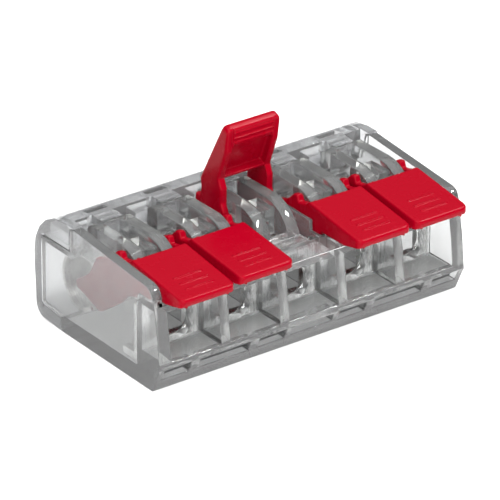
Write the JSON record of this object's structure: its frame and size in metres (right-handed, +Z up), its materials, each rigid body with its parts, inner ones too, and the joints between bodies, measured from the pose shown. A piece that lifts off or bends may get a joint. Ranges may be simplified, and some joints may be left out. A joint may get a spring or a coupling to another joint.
{
  "type": "lever wire connector",
  "caption": "Clear wire connector block with a row of wire mouths, a common inner bar and red levers that open and close a spring clamp over each wire.",
  "frame": {"origin": "middle of the bounding box, on the flat base", "axes": "+X along the row of poles, -Y towards the wire side, +Z up"},
  "size_m": [0.03, 0.0186, 0.0164],
  "materials": {
    "clear_shell": "clear smoke-grey polycarbonate, polished",
    "clear_cover": "clear smoke-grey polycarbonate, slightly frosted",
    "tinned_bar": "copper bar with a bright tin plating",
    "lever_red": "moulded red plastic, semi-gloss",
    "spring_steel": "rolled spring steel",
    "leaf_steel": "rolled spring steel"
  },
  "bodies": {
    "case": {"housing_body": "clear_shell", "rear_cover": "clear_cover", "busbar": "tinned_bar", "spring_1": "spring_steel", "spring_2": "spring_steel", "spring_3": "spring_steel", "spring_4": "spring_steel", "spring_5": "spring_steel"},
    "lever_1": {"lever_1": "lever_red"},
    "leaf_1": {"clamp_leg_1": "leaf_steel"},
    "lever_2": {"lever_2": "lever_red"},
    "leaf_2": {"clamp_leg_2": "leaf_steel"},
    "lever_3": {"lever_3": "lever_red"},
    "leaf_3": {"clamp_leg_3": "leaf_steel"},
    "lever_4": {"lever_4": "lever_red"},
    "leaf_4": {"clamp_leg_4": "leaf_steel"},
    "lever_5": {"lever_5": "lever_red"},
    "leaf_5": {"clamp_leg_5": "leaf_steel"}
  },
  "joints": [
    {"name": "lever_1_hinge", "type": "hinge", "parent": "case", "child": "lever_1", "pos_m": [-0.01143, 0.0015, 0.00505], "axis": [-1, 0, 0], "range_deg": [0, 69]},
    {"name": "leaf_1_flex", "type": "hinge", "parent": "case", "child": "leaf_1", "pos_m": [-0.01143, 0.0053, 0.00145], "axis": [1, 0, 0], "range_deg": [0, 22.8]},
    {"name": "lever_2_hinge", "type": "hinge", "parent": "case", "child": "lever_2", "pos_m": [-0.00571, 0.0015, 0.00505], "axis": [-1, 0, 0], "range_deg": [-1.6, 67.4]},
    {"name": "leaf_2_flex", "type": "hinge", "parent": "case", "child": "leaf_2", "pos_m": [-0.00571, 0.0053, 0.00145], "axis": [1, 0, 0], "range_deg": [-0.53, 22.27]},
    {"name": "lever_3_hinge", "type": "hinge", "parent": "case", "child": "lever_3", "pos_m": [0, 0.0015, 0.00505], "axis": [-1, 0, 0], "range_deg": [-69, 0]},
    {"name": "leaf_3_flex", "type": "hinge", "parent": "case", "child": "leaf_3", "pos_m": [0, 0.0053, 0.00145], "axis": [1, 0, 0], "range_deg": [-22.8, 0]},
    {"name": "lever_4_hinge", "type": "hinge", "parent": "case", "child": "lever_4", "pos_m": [0.00571, 0.0015, 0.00505], "axis": [-1, 0, 0], "range_deg": [0, 69]},
    {"name": "leaf_4_flex", "type": "hinge", "parent": "case", "child": "leaf_4", "pos_m": [0.00571, 0.0053, 0.00145], "axis": [1, 0, 0], "range_deg": [0, 22.8]},
    {"name": "lever_5_hinge", "type": "hinge", "parent": "case", "child": "lever_5", "pos_m": [0.01143, 0.0015, 0.00505], "axis": [-1, 0, 0], "range_deg": [0, 69]},
    {"name": "leaf_5_flex", "type": "hinge", "parent": "case", "child": "leaf_5", "pos_m": [0.01143, 0.0053, 0.00145], "axis": [1, 0, 0], "range_deg": [0, 22.8]}
  ],
  "couplings": [
    {"joint": "leaf_1_flex", "follows": "lever_1_hinge", "ratio": 0.3304},
    {"joint": "leaf_2_flex", "follows": "lever_2_hinge", "ratio": 0.3304},
    {"joint": "leaf_3_flex", "follows": "lever_3_hinge", "ratio": 0.3304},
    {"joint": "leaf_4_flex", "follows": "lever_4_hinge", "ratio": 0.3304},
    {"joint": "leaf_5_flex", "follows": "lever_5_hinge", "ratio": 0.3304}
  ]
}
